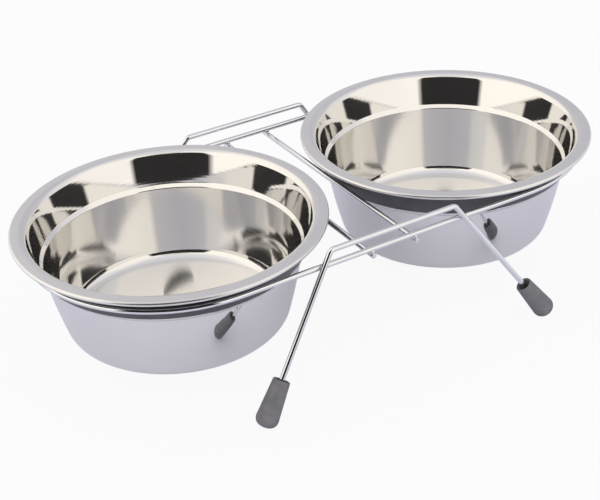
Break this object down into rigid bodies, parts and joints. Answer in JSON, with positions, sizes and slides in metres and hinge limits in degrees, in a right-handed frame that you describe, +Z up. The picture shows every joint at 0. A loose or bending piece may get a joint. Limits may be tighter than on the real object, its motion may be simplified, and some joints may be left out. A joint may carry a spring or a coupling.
{
  "type": "double pet bowl",
  "caption": "Polished steel pet bowls with rolled rims and rubber rings, lifting out of a welded chrome wire stand with splayed legs on rubber feet.",
  "frame": {"origin": "on the floor, under the middle of the stand, halfway between the bowls", "axes": "+X from the left bowl to the right bowl, +Y from front to rear, +Z up"},
  "size_m": [0.351, 0.202, 0.0809],
  "materials": {
    "bowl_steel": "mirror-polished stainless steel, satin flange",
    "ring_rubber": "smooth dark rubber",
    "chrome_wire": "bright chrome plating",
    "foot_rubber": "matt moulded rubber"
  },
  "bodies": {
    "stand": {"support_loop": "chrome_wire", "front_leg_frame": "chrome_wire", "rear_leg_frame": "chrome_wire", "left_cross_wire": "chrome_wire", "right_cross_wire": "chrome_wire", "cross_wire_welds": "chrome_wire", "leg_welds": "chrome_wire", "front_left_foot": "foot_rubber", "front_right_foot": "foot_rubber", "rear_left_foot": "foot_rubber", "rear_right_foot": "foot_rubber"},
    "left_bowl": {"left_bowl": "bowl_steel", "left_bowl_ring": "ring_rubber"},
    "right_bowl": {"right_bowl": "bowl_steel", "right_bowl_ring": "ring_rubber"}
  },
  "joints": [
    {"name": "left_bowl_lift", "type": "slide", "parent": "stand", "child": "left_bowl", "axis": [0, 0, 1], "range_m": [0, 0.1]},
    {"name": "right_bowl_lift", "type": "slide", "parent": "stand", "child": "right_bowl", "axis": [0, 0, 1], "range_m": [0, 0.1]}
  ]
}
